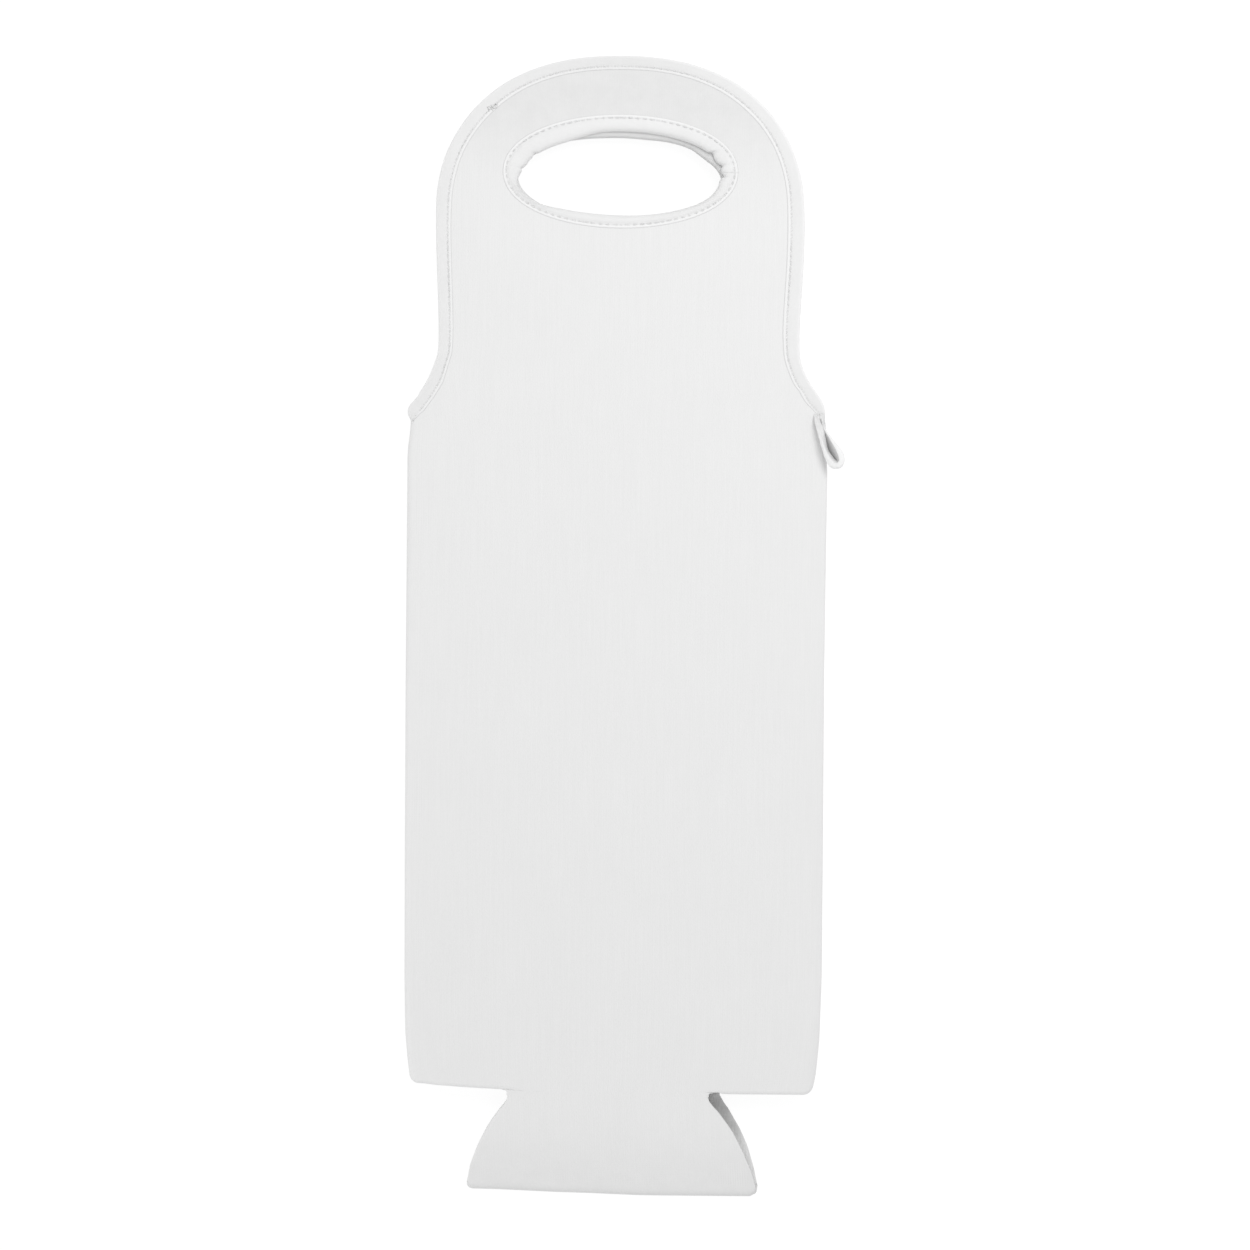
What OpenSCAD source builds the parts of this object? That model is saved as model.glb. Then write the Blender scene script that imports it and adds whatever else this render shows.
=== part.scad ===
/* [Pouch] */
// Width of the carrier lying flat, from seam to seam
flat_w = 150; // [144:1:160]
// Height of the pouch, from its bottom crease to its mouth
pouch_h = 240; // [200:1:280]
// Room between the front and the back sheet
sheet_room = 5; // [4.4:0.1:7]
// Radius of the rounded edge beside each seam
edge_r = 3; // [2:0.25:4.5]
// Width of the seam allowance turned inside
lip_w = 6; // [4:0.5:9]
// Radius of the pouch's lower corners
corner_r = 3.2; // [1:0.2:8]

/* [Sheet] */
// Thickness of the whole laminated sheet
sheet_t = 3; // [2.2:0.1:4.5]
// Thickness of the knit on the outer side
knit_t = 0.4; // [0.2:0.05:0.8]
// Thickness of the lining on the inner side
lining_t = 0.4; // [0.2:0.05:0.8]

/* [Base] */
// How far the folded base hangs below the pouch
base_drop = 35; // [28:0.5:37]
// Width of the neck that joins the base to the pouch
neck_w = 74.8; // [60:0.2:76]
// Radius of the round cut at the end of each notch
relief_r = 1.5; // [0.8:0.1:2]

/* [Handle] */
// Height of the handle above the mouth
handle_h = 127.7; // [118:0.1:145]
// How far the handle's widest place is drawn in from each seam
arch_in = 9.8; // [6:0.2:16]
// Height of the rounded top of the handle
arch_rise = 55; // [45:0.5:62]
// How far the handle's waist is drawn in from each seam
waist_in = 11.2; // [8:0.2:14]
// How far each foot of the handle stops short of the seam
foot_in = 1.4; // [1:0.1:5]
// Height above the mouth of the tape's inner corner at each foot
foot_h = 1.7; // [1:0.1:5]
// Height of the flare above each foot
flare_h = 18; // [14:0.1:28]

/* [Hand hole] */
// Clear width of the hand hole
hole_w = 73; // [60:0.5:84]
// Clear height of the hand hole
hole_h = 29.8; // [24:0.2:36]
// Distance of the hole's centre below the handle's top
hole_down = 41.1; // [36:0.1:50]

/* [Binding] */
// Width of the binding tape on the handle's edge
edge_tape_w = 5.7; // [4.5:0.1:6.6]
// Width of the binding tape around the hand hole
hole_tape_w = 5.2; // [4.5:0.1:7]
// Thickness of the binding where it turns over the edge
tape_t = 0.4; // [0.2:0.05:0.8]
// Length of one stitch
stitch_l = 1.8; // [1.2:0.1:2]
// Distance from one stitch to the next
stitch_pitch = 2.5; // [2.4:0.1:6]
// Width of one stitch
stitch_w = 0.5; // [0.3:0.05:0.8]
// Depth of the groove that the stitches press into the tape
stitch_d = 0.25; // [0.1:0.01:0.3]
// Distance of the stitches from the inner edge of the handle's tape
edge_stitch_in = 1.6; // [1:0.1:2.5]
// Distance of the stitches from the outer edge of the hole's tape
hole_stitch_in = 1.1; // [0.8:0.1:2.5]

/* [Seams] */
// Radius of the seam thread
thread_r = 0.45; // [0.25:0.05:0.7]

/* [Hanging loop] */
// Width of the loop's tape, across its thickness
loop_tape_w = 7; // [5:0.5:10]
// Thickness of the loop's tape
loop_tape_t = 1; // [0.6:0.1:1.4]
// Length of the loop from its root to the middle of its bend
loop_l = 14.3; // [11:0.1:24]
// Outer radius of the loop's bend
loop_r = 3.1; // [2.5:0.1:5]
// Outer radius of the loop's sewn root
loop_root_r = 1.6; // [1.3:0.1:2.2]
// Lean of the loop away from the pouch's edge, in degrees
loop_lean = 24; // [5:1:60]
// Distance of the root's middle from the seam line
root_in = 3.6; // [3:0.1:6]
// Distance of the root's middle below the mouth
root_down = 1.7; // [1:0.1:4]
// Radius of the bar tack's threads
tack_r = 0.5; // [0.3:0.05:0.7]
// Thickness of the bar tack's head
tack_head_t = 0.4; // [0.2:0.05:1]

/* [Clearances] */
// Half of the cut between two parts of the sheet that bend
part_gap = 0.15; // [0.12:0.01:0.3]
// Clearance around the seam thread
thread_gap = 0.15; // [0.1:0.01:0.3]
// Clearance between the loop and the face that it lies over
loop_gap = 0.4; // [0.3:0.05:1]
// Running clearance of the bar tack in the loop's root
tack_gap = 0.05; // [0.03:0.01:0.1]
// Clearance on each side of a stitch in its groove
stitch_gap = 0.1; // [0.08:0.01:0.2]

/* [Hidden] */

// Extra length of every cutting body
overrun = 1;
seam_x = flat_w / 2;
crease_x = seam_x - base_drop;
mouth_y = pouch_h / 2;
mid_z = sheet_t + sheet_room / 2;
front_face_z = 2 * mid_z;
foam_low = knit_t;
foam_high = sheet_t - lining_t;
fold_y = -pouch_h / 2 - base_drop;
neck_x = neck_w / 2;
disc_r = norm([neck_x, base_drop]);
foot_x = seam_x - foot_in;
waist_x = seam_x - waist_in;
arch_x = seam_x - arch_in;
low_y = mouth_y + part_gap;
shoulder_y = mouth_y + handle_h - arch_rise;
hole_y = mouth_y + handle_h - hole_down;
flare_in = foot_x - waist_x;
flare_r = (flare_in * flare_in + flare_h * flare_h) / (2 * flare_in);
// The tape's inner edge keeps its corner above the mouth
inner_reach = waist_x + flare_r - foot_x + edge_tape_w;
inner_r = flare_r + edge_tape_w;
waist_y = mouth_y + foot_h + sqrt(inner_r * inner_r - inner_reach * inner_reach);
// Roundness of the handle's top: 2 is an ellipse, more is squarer
arch_power = 2.25;
// Steps along each part of an outline
flare_steps = 10;
side_steps = 8;
arch_steps = 22;
hole_steps = 64;
corner_steps = 8;
root_x = seam_x - root_in;
root_y = mouth_y - root_down;
loop_z = front_face_z + loop_gap;
eye_r = loop_r - loop_tape_t;
// Places of the loop's eye as shares of the loop's length
eye_top_share = 0.38;
eye_tip_share = 0.3;
tack_head_r = tack_r + tack_gap + loop_tape_t / 2;

face_colour = [0.93, 0.93, 0.94];
foam_colour = [0.88, 0.88, 0.88];
lining_colour = [0.9, 0.9, 0.92];
tape_colour = [0.97, 0.97, 0.98];
thread_colour = [0.99, 0.99, 0.99];

// Edge of the handle between its two waists, over the top from right to left
side_run = [for (i = [1:side_steps - 1])
    let (s = i / side_steps)
    [waist_x + (arch_x - waist_x) * (1 - cos(180 * s)) / 2,
        waist_y + (shoulder_y - waist_y) * s]];
arch_run = [for (i = [0:arch_steps])
    let (a = 90 * i / arch_steps)
    [arch_x * pow(cos(a), 2 / arch_power), arch_rise * pow(sin(a), 2 / arch_power)
        + shoulder_y]];
half_run = concat([[waist_x, waist_y]], side_run, arch_run);
half_last = len(half_run) - 1;
top_run = concat(half_run,
    [for (i = [1:half_last]) [-half_run[half_last - i][0], half_run[half_last - i][1]]]);
top_last = len(top_run) - 1;

// Direction square to a run of points, pointing to its left
function left_of(a, b) = [a[1] - b[1], b[0] - a[0]] / norm(b - a);

// Flare of the right foot moved inwards by a distance, from the foot to the waist
function flare_edge(inset) =
    let (r = flare_r + inset, middle = waist_x + flare_r,
        turn = acos((middle - foot_x + inset) / r))
    [for (i = [0:flare_steps])
        let (a = turn * (1 - i / flare_steps))
        [middle - r * cos(a), waist_y - r * sin(a)]];

// Edge of the handle moved inwards by a distance, down to a given height
function handle_edge(inset, low) =
    let (flare = flare_edge(inset))
    concat(
        [[foot_x - inset, low]], flare,
        [for (i = [1:top_last - 1])
            top_run[i] + inset * left_of(top_run[i - 1], top_run[i + 1])],
        [for (i = [0:flare_steps])
            [-flare[flare_steps - i][0], flare[flare_steps - i][1]]],
        [[inset - foot_x, low]]);

// Outline of the middle panel with the handle's edge moved inwards
function panel_outline(inset) = concat(
    [[part_gap - crease_x, part_gap - pouch_h / 2],
        [crease_x - part_gap, part_gap - pouch_h / 2],
        [crease_x - part_gap, low_y]],
    handle_edge(inset, low_y),
    [[part_gap - crease_x, low_y]]);

// Edge of the hand hole moved outwards by a distance
function hole_edge(outset) = [for (i = [0:hole_steps - 1])
    let (a = 360 * i / hole_steps, x = hole_w / 2, y = hole_h / 2,
        away = [y * cos(a), x * sin(a)])
    [x * cos(a), hole_y + y * sin(a)] + outset * away / norm(away)];

module slab(outline, low, high) {
    translate([0, 0, low])
        linear_extrude(high - low)
            polygon(outline);
}

module on_front() {
    translate([0, 0, front_face_z])
        mirror([0, 0, 1])
            children();
}

module on_left() {
    mirror([1, 0, 0])
        children();
}

// Round cuts at the ends of the two notches beside the neck
module notch_reliefs() {
    for (side = [-1, 1])
        translate([side * neck_x, -pouch_h / 2, -overrun])
            cylinder(r = relief_r, h = sheet_t + 2 * overrun, $fn = 32);
}

// One layer of the middle panel between two heights in the sheet
module panel_layer(edge_inset, hole_outset, low, high) {
    difference() {
        slab(panel_outline(edge_inset), low, high);
        slab(hole_edge(hole_outset), low - overrun, high + overrun);
        notch_reliefs();
    }
}

// Outer surface of a side strip, from its crease round the edge to its seam
function side_skin(inset) = concat(
    [[crease_x + part_gap, inset]],
    [for (i = [0:corner_steps])
        let (a = 90 * i / corner_steps - 90, r = edge_r - inset)
        [seam_x - edge_r + r * cos(a), edge_r + r * sin(a)]],
    [[seam_x - inset, mid_z - part_gap]]);

// Back to front along a list
function turned(list) = [for (i = [len(list) - 1:-1:0]) list[i]];

// A profile across the strip, run along the pouch's height
module side_length(profile) {
    translate([0, mouth_y - part_gap, 0])
        rotate([90, 0, 0])
            linear_extrude(pouch_h - 2 * part_gap)
                polygon(profile);
}

// Plan of a side strip with its lower outer corner rounded
module side_plan() {
    low = part_gap - pouch_h / 2;
    slab(concat(
        [[crease_x, low]],
        [for (i = [0:corner_steps])
            let (a = 90 * i / corner_steps - 90)
            [seam_x - corner_r + corner_r * cos(a), low + corner_r + corner_r * sin(a)]],
        [[seam_x, mouth_y], [crease_x, mouth_y]]), -overrun, mid_z + overrun);
}

// Room for the thread along the right seam
module seam_relief() {
    translate([seam_x, mouth_y + overrun, mid_z])
        rotate([90, 0, 0])
            cylinder(r = thread_r + thread_gap, h = pouch_h + 2 * overrun, $fn = 32);
}

module side_piece(profile) {
    difference() {
        intersection() {
            side_length(profile);
            side_plan();
        }
        seam_relief();
    }
}

module side_knit() {
    side_piece(concat(side_skin(0), turned(side_skin(knit_t))));
}

module side_foam() {
    side_piece(concat(side_skin(knit_t),
        [[seam_x - lip_w, mid_z - part_gap], [seam_x - lip_w, foam_high],
            [crease_x + part_gap, foam_high]]));
}

module side_lining() {
    side_piece([[crease_x + part_gap, foam_high], [seam_x - lip_w, foam_high],
        [seam_x - lip_w, sheet_t], [crease_x + part_gap, sheet_t]]);
}

// One layer of the base's back half, between two depths from its outer face
module base_layer(low, high) {
    intersection() {
        union() {
            translate([-disc_r - overrun, fold_y + mid_z, low])
                cube([2 * disc_r + 2 * overrun, base_drop - mid_z - part_gap, high - low]);
            intersection() {
                translate([-disc_r - overrun, fold_y + mid_z, mid_z])
                    rotate([0, 90, 0])
                        difference() {
                            cylinder(r = mid_z - low, h = 2 * disc_r + 2 * overrun, $fn = 64);
                            translate([0, 0, -overrun])
                                cylinder(r = mid_z - high, h = 2 * disc_r + 4 * overrun, $fn = 64);
                        }
                translate([-disc_r - 2 * overrun, fold_y - overrun, -overrun])
                    cube([2 * disc_r + 4 * overrun, mid_z + overrun,
                        mid_z + overrun - part_gap]);
            }
        }
        difference() {
            translate([0, fold_y, -overrun])
                cylinder(r = disc_r, h = mid_z + 2 * overrun, $fn = 96);
            notch_reliefs();
        }
    }
}

// Channel of tape around the handle's edge
module edge_binding() {
    difference() {
        slab(handle_edge(0, low_y), 0, sheet_t);
        slab(handle_edge(edge_tape_w, low_y - overrun), -overrun, sheet_t + overrun);
        slab(handle_edge(tape_t, low_y - overrun), foam_low, foam_high);
        edge_groove();
    }
}

module edge_groove() {
    inset = edge_tape_w - edge_stitch_in;
    half = stitch_w / 2 + stitch_gap;
    difference() {
        slab(handle_edge(inset - half, low_y - overrun), -overrun, stitch_d);
        slab(handle_edge(inset + half, low_y - 2 * overrun), -2 * overrun,
            stitch_d + overrun);
    }
}

// Channel of tape around the hand hole
module hole_binding() {
    difference() {
        slab(hole_edge(hole_tape_w), 0, sheet_t);
        slab(hole_edge(0), -overrun, sheet_t + overrun);
        difference() {
            slab(hole_edge(hole_tape_w + overrun), foam_low, foam_high);
            slab(hole_edge(tape_t), foam_low - overrun, foam_high + overrun);
        }
        hole_groove();
    }
}

module hole_groove() {
    outset = hole_tape_w - hole_stitch_in;
    half = stitch_w / 2 + stitch_gap;
    difference() {
        slab(hole_edge(outset + half), -overrun, stitch_d);
        slab(hole_edge(outset - half), -2 * overrun, stitch_d + overrun);
    }
}

// Length along a run of points up to each point
function run_lengths(run) = [for (i = 0, s = 0; i < len(run);
    s = s + (i < len(run) - 1 ? norm(run[i + 1] - run[i]) : 0), i = i + 1) s];

// Stitches laid end to end along a run of points, from a start to an end length
module stitch_row(run) {
    lengths = run_lengths(run);
    x_table = [for (i = [0:len(run) - 1]) [lengths[i], run[i][0]]];
    y_table = [for (i = [0:len(run) - 1]) [lengths[i], run[i][1]]];
    total = lengths[len(run) - 1];
    count = floor(total / stitch_pitch);
    for (k = [0:count - 1]) {
        s = (k + 1 / 2) * total / count;
        a = [lookup(s - stitch_l / 2, x_table), lookup(s - stitch_l / 2, y_table)];
        b = [lookup(s + stitch_l / 2, x_table), lookup(s + stitch_l / 2, y_table)];
        middle = (a + b) / 2;
        translate([middle[0], middle[1], 0])
            rotate([0, 0, atan2(b[1] - a[1], b[0] - a[0])])
                translate([-stitch_l / 2, -stitch_w / 2, 0])
                    cube([stitch_l, stitch_w, stitch_d]);
    }
}

// The row starts and ends at the foot of each flare
module edge_stitches() {
    row = handle_edge(edge_tape_w - edge_stitch_in, low_y);
    stitch_row([for (i = [1:len(row) - 2]) row[i]]);
}

module hole_stitches() {
    row = hole_edge(hole_tape_w - hole_stitch_in);
    stitch_row(concat(row, [row[0]]));
}

module seam_thread() {
    translate([seam_x, mouth_y - part_gap, mid_z])
        rotate([90, 0, 0])
            cylinder(r = thread_r, h = pouch_h - corner_r, $fn = 24);
}

// Drop shape around two circles, the small one at the origin
function drop_outline(small_r, big_r, reach) =
    let (lean = asin((big_r - small_r) / reach))
    concat(
        [for (i = [0:corner_steps])
            let (a = lean + (180 - 2 * lean) * i / corner_steps)
            [small_r * cos(a), small_r * sin(a)]],
        [for (i = [0:2 * corner_steps])
            let (a = 180 - lean + (180 + 2 * lean) * i / (2 * corner_steps))
            [big_r * cos(a), big_r * sin(a) - reach]]);

module at_root() {
    translate([root_x, root_y, 0])
        rotate([0, 0, loop_lean])
            children();
}

module back_panel_knit() {
    color(face_colour)
        panel_layer(edge_tape_w, hole_tape_w, 0, knit_t);
}

module back_panel_foam() {
    color(foam_colour)
        panel_layer(tape_t, tape_t, foam_low, foam_high);
}

module back_panel_lining() {
    color(lining_colour)
        panel_layer(edge_tape_w, hole_tape_w, foam_high, sheet_t);
}

module back_left_knit() {
    color(face_colour)
        on_left()
            side_knit();
}

module back_left_foam() {
    color(foam_colour)
        on_left()
            side_foam();
}

module back_left_lining() {
    color(lining_colour)
        on_left()
            side_lining();
}

module back_right_knit() {
    color(face_colour)
        side_knit();
}

module back_right_foam() {
    color(foam_colour)
        side_foam();
}

module back_right_lining() {
    color(lining_colour)
        side_lining();
}

module base_back_knit() {
    color(face_colour)
        base_layer(0, knit_t);
}

module base_back_foam() {
    color(foam_colour)
        base_layer(foam_low, foam_high);
}

module base_back_lining() {
    color(lining_colour)
        base_layer(foam_high, sheet_t);
}

module base_front_knit() {
    color(face_colour)
        on_front()
            base_layer(0, knit_t);
}

module base_front_foam() {
    color(foam_colour)
        on_front()
            base_layer(foam_low, foam_high);
}

module base_front_lining() {
    color(lining_colour)
        on_front()
            base_layer(foam_high, sheet_t);
}

module front_panel_knit() {
    color(face_colour)
        on_front()
            panel_layer(edge_tape_w, hole_tape_w, 0, knit_t);
}

module front_panel_foam() {
    color(foam_colour)
        on_front()
            panel_layer(tape_t, tape_t, foam_low, foam_high);
}

module front_panel_lining() {
    color(lining_colour)
        on_front()
            panel_layer(edge_tape_w, hole_tape_w, foam_high, sheet_t);
}

module front_left_knit() {
    color(face_colour)
        on_front()
            on_left()
                side_knit();
}

module front_left_foam() {
    color(foam_colour)
        on_front()
            on_left()
                side_foam();
}

module front_left_lining() {
    color(lining_colour)
        on_front()
            on_left()
                side_lining();
}

module front_right_knit() {
    color(face_colour)
        on_front()
            side_knit();
}

module front_right_foam() {
    color(foam_colour)
        on_front()
            side_foam();
}

module front_right_lining() {
    color(lining_colour)
        on_front()
            side_lining();
}

module back_edge_binding() {
    color(tape_colour)
        edge_binding();
}

module front_edge_binding() {
    color(tape_colour)
        on_front()
            edge_binding();
}

module back_hole_binding() {
    color(tape_colour)
        hole_binding();
}

module front_hole_binding() {
    color(tape_colour)
        on_front()
            hole_binding();
}

module back_edge_stitches() {
    color(thread_colour)
        edge_stitches();
}

module front_edge_stitches() {
    color(thread_colour)
        on_front()
            edge_stitches();
}

module back_hole_stitches() {
    color(thread_colour)
        hole_stitches();
}

module front_hole_stitches() {
    color(thread_colour)
        on_front()
            hole_stitches();
}

module left_seam_thread() {
    color(thread_colour)
        on_left()
            seam_thread();
}

module right_seam_thread() {
    color(thread_colour)
        seam_thread();
}

module hang_loop() {
    color(tape_colour)
        difference() {
            at_root()
                slab(drop_outline(loop_root_r, loop_r, loop_l), loop_z, loop_z + loop_tape_w);
            at_root()
                translate([0, -loop_l * eye_top_share, 0])
                    slab(drop_outline(eye_r * eye_tip_share, eye_r,
                        loop_l * (1 - eye_top_share)), loop_z - overrun,
                        loop_z + loop_tape_w + overrun);
            at_root()
                translate([0, 0, loop_z - overrun])
                    cylinder(r = tack_r + tack_gap, h = loop_tape_w + 2 * overrun, $fn = 32);
        }
}

module loop_bar_tack() {
    color(thread_colour)
        at_root()
            translate([0, 0, front_face_z])
                union() {
                    cylinder(r = tack_r, h = 2 * loop_gap + loop_tape_w, $fn = 32);
                    translate([0, 0, 2 * loop_gap + loop_tape_w - part_gap])
                        cylinder(r = tack_head_r, h = tack_head_t, $fn = 32);
                }
}

back_panel_knit();
back_panel_foam();
back_panel_lining();
back_left_knit();
back_left_foam();
back_left_lining();
back_right_knit();
back_right_foam();
back_right_lining();
base_back_knit();
base_back_foam();
base_back_lining();
base_front_knit();
base_front_foam();
base_front_lining();
front_panel_knit();
front_panel_foam();
front_panel_lining();
front_left_knit();
front_left_foam();
front_left_lining();
front_right_knit();
front_right_foam();
front_right_lining();
back_edge_binding();
front_edge_binding();
back_hole_binding();
front_hole_binding();
back_edge_stitches();
front_edge_stitches();
back_hole_stitches();
front_hole_stitches();
left_seam_thread();
right_seam_thread();
hang_loop();
loop_bar_tack();
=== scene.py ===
import math

import bpy
import numpy as np
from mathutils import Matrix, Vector, geometry, noise


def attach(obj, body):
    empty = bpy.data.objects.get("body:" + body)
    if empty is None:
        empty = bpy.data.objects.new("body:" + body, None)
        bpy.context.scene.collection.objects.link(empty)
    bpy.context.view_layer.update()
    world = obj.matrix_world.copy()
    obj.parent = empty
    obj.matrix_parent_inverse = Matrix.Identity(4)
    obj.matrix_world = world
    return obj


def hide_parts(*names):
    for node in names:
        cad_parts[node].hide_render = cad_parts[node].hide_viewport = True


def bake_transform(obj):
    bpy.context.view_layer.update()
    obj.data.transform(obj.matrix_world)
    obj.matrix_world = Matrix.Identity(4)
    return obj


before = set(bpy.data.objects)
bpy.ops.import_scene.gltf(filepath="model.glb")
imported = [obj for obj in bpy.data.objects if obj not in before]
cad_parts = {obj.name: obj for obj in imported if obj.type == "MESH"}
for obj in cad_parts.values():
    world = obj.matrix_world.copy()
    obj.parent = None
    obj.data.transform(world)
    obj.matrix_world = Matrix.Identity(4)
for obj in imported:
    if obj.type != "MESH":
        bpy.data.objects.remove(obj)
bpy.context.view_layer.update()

MM = 0.001

# Sizes of the carrier in millimetres, as in the solids. BLEND is the stretch beside a crease over
# which the scene's sheet bends
SEAM_X = 75.0
CREASE_X = 40.0
BLEND = 18.0
BEND_END = CREASE_X + BLEND
MOUTH = 120.0
FLOOR_Y = -120.0
DROP = 35.0
FOLD = FLOOR_Y - DROP
SHEET = 3.0
TOP_Z = 11.0
INNER_Z = TOP_Z - SHEET
SHEET_MIDDLE_Z = TOP_Z - SHEET / 2
MID_Z = TOP_Z / 2
NECK_X = 37.4
FOOT_X = 73.6
WAIST_X = 63.8
ARCH_X = 65.2
ARCH_RISE = 55.0
HANDLE_H = 127.7
ARCH_POWER = 2.25
FLARE_H = 18.0
FOOT_H = 1.7
EDGE_TAPE = 5.7
HOLE_TAPE = 5.2
HOLE_A = 36.5
HOLE_B = 14.9
HOLE_Y = MOUTH + HANDLE_H - 41.1
LIP = 6.0
SEAM_R = 3.0
HALF_CUT = 0.15
STITCH = 2.45

FLARE_IN = FOOT_X - WAIST_X
FLARE_R = (FLARE_IN ** 2 + FLARE_H ** 2) / (2 * FLARE_IN)
WAIST_Y = MOUTH + FOOT_H + math.sqrt(
    (FLARE_R + EDGE_TAPE) ** 2 - (WAIST_X + FLARE_R - FOOT_X + EDGE_TAPE) ** 2)
SHOULDER = MOUTH + HANDLE_H - ARCH_RISE


# Small helpers

def smooth(t):
    t = np.clip(t, 0, 1)
    return t * t * (3 - 2 * t)


def soft_noise(x, y, size, seed):
    """Smooth noise from about -1 to 1 at points in millimetres."""
    out = np.array([
        noise.noise(Vector((a / size + seed * 7.3, b / size - seed * 3.1, seed)))
        for a, b in zip(x.flat, y.flat)])
    return out.reshape(x.shape)


# The photographed carrier is measured on a scale that is this much smaller, so that its side seams
# lie on the solids' hinge lines and stay together when the pouch opens
GROW = 1.006
GROW_FROM = (3.65, FLOOR_Y)
ASIDE = -0.3


def grown(x, y):
    """In-plane millimetres of the measured carrier on the solids' scale."""
    return (GROW_FROM[0] + (x - GROW_FROM[0]) * GROW + ASIDE,
            GROW_FROM[1] + (y - GROW_FROM[1]) * GROW)


# How far the left and right edges of the photographed carrier lie from the true pattern, upwards
LIE_Y = (
    -120, -114, -110, -101, -80, -38, 26, 60, 99, 112, 120, 124, 126.4, 128.9, 131.4, 134, 136.4,
    139, 141.3, 144, 150, 162, 174, 186, 198, 212, 222, 232, 240, 250)
LIE_LEFT = (
    3.7, 3.0, 2.5, 1.75, 1.35, 1.1, 0.85, 0.85, 0.85, 0.4, -0.3, -0.15, -0.1, -0.5, -0.9, -1.0,
    -0.9, -0.5, 0, 0.3, 0.4, 0.4, 0.4, 0.4, 0.5, 0.9, 1.4, 1.4, 0.9, 0.4)
LIE_RIGHT = (
    -3.6, -2.3, -1.8, -0.95, -0.35, -0.3, -0.4, -0.2, 0.1, 0, 0, 0.5, 1.4, 2.2, 2.2, 2.1, 1.9, 1.5,
    1.2, 1.0, 0.9, 1.1, 1.3, 1.2, 0.8, 0.4, 0.2, 0.2, 0.9, 1.2)
# How far the lower left corner is drawn up, from the edge to the neck
DRAWN_X = (-75, -69.4, -65.2, -61, -56.7, -52.4, -48.2, -44, -39.6, -34, -26)
DRAWN_UP = (2.6, 2.35, 1.85, 1.6, 1.3, 1.05, 0.85, 0.7, 0.45, 0.15, 0)
# How far the lower right corner hangs lower, and how much lower the back handle's hand hole lies
# than the front one, the more so to its right, where it is shorter
CORNER_LOWER = 0.5
BACK_HOLE_LOWER = 2.7
BACK_HOLE_TILT = 0.03
BACK_HOLE_SHORTER = 2.2


def shift_in_plane(x, y, side):
    """How far each point lies from the true pattern, as the photographed carrier lies."""
    share = np.clip((x + SEAM_X) / (2 * SEAM_X), 0, 1)
    above = smooth((y - FLOOR_Y + 1.5) / 1.5)
    dx = share * np.interp(y, LIE_Y, LIE_RIGHT) + (1 - share) * np.interp(y, LIE_Y, LIE_LEFT)
    dx = dx * above
    dy = np.interp(x, DRAWN_X, DRAWN_UP) * smooth((-62 - y) / 55) * above
    dy = dy - CORNER_LOWER * smooth((x - 36) / 8) * smooth((-100 - y) / 18) * above
    if side == "back":
        ring = hole_ring(x, y)
        dy = dy - ring * (BACK_HOLE_LOWER + BACK_HOLE_TILT * x)
        dx = dx - ring * BACK_HOLE_SHORTER * smooth((x - 12) / 24)
    return dx, dy


SHOULDER_IN = 2.0
SHOULDER_Y = 119


def shoulder(x, y):
    """The pouch's upper corners are rounded: how far its edge is drawn in there."""
    reach = np.where(y < SHOULDER_Y, 9, 6)
    return (np.sign(x) * SHOULDER_IN * smooth((np.abs(x) - 62) / 13)
            * np.exp(-((y - SHOULDER_Y) / reach) ** 2))


def hole_ring(x, y):
    """1 around the hand hole, fading to 0 a little way off."""
    ring = np.hypot(x / (HOLE_A + 6), (y - HOLE_Y) / (HOLE_B + 6))
    return 1 - smooth((ring - 0.9) / 0.75)


# The waves' lengths and heights, and how far the handles lean together, also around their holes.
# The back lies on the floor, so its waves and its bindings only rise from there
BIG_WAVE = (85, 0.55)
SMALL_WAVE = (34, 0.18)
HANDLE_LEAN = 0.5
HOLE_LEAN = {"front": 0.5, "back": 2.7}
OFF_FLOOR = 0.62
BINDING_RISE = 0.5


def wave(x, y, side):
    """Slight waves of the soft sheet, out of its plane."""
    seed = 3 if side == "front" else 8
    big = soft_noise(x, y, BIG_WAVE[0], seed) * BIG_WAVE[1]
    small = soft_noise(x, y, SMALL_WAVE[0], seed + 20) * SMALL_WAVE[1]
    near_seam = smooth((SEAM_X + 0.5 - np.abs(x)) / 14)
    near_fold = smooth((y - FOLD) / 14)
    lean = smooth((y - MOUTH - 10) / 60) * HANDLE_LEAN
    lean = lean + hole_ring(x, y) * HOLE_LEAN[side]
    if side == "back":
        small = small - OFF_FLOOR
        lean = lean + BINDING_RISE * smooth((y - MOUTH + 2) / 6)
    return (big + small) * near_seam * near_fold - lean


def in_scene(x, y, z):
    """Points measured on the photographed carrier in millimetres, to metres."""
    x, y = grown(x, y)
    return np.stack([x * MM, y * MM, z * MM], -1)


def place(x, y, z, side, waves=1.0):
    """Points of the front side in millimetres, to metres, mirrored for the back."""
    x, y, z = (np.asarray(v, float) for v in np.broadcast_arrays(x, y, z))
    z = z + wave(x, y, side) * waves
    dx, dy = shift_in_plane(x, y, side)
    if side == "back":
        z = TOP_Z - z
    return in_scene(x + dx, y + dy, z)


# A sheet's material slots
OUTSIDE, CUT_EDGE, INSIDE = 0, 1, 2


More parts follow.
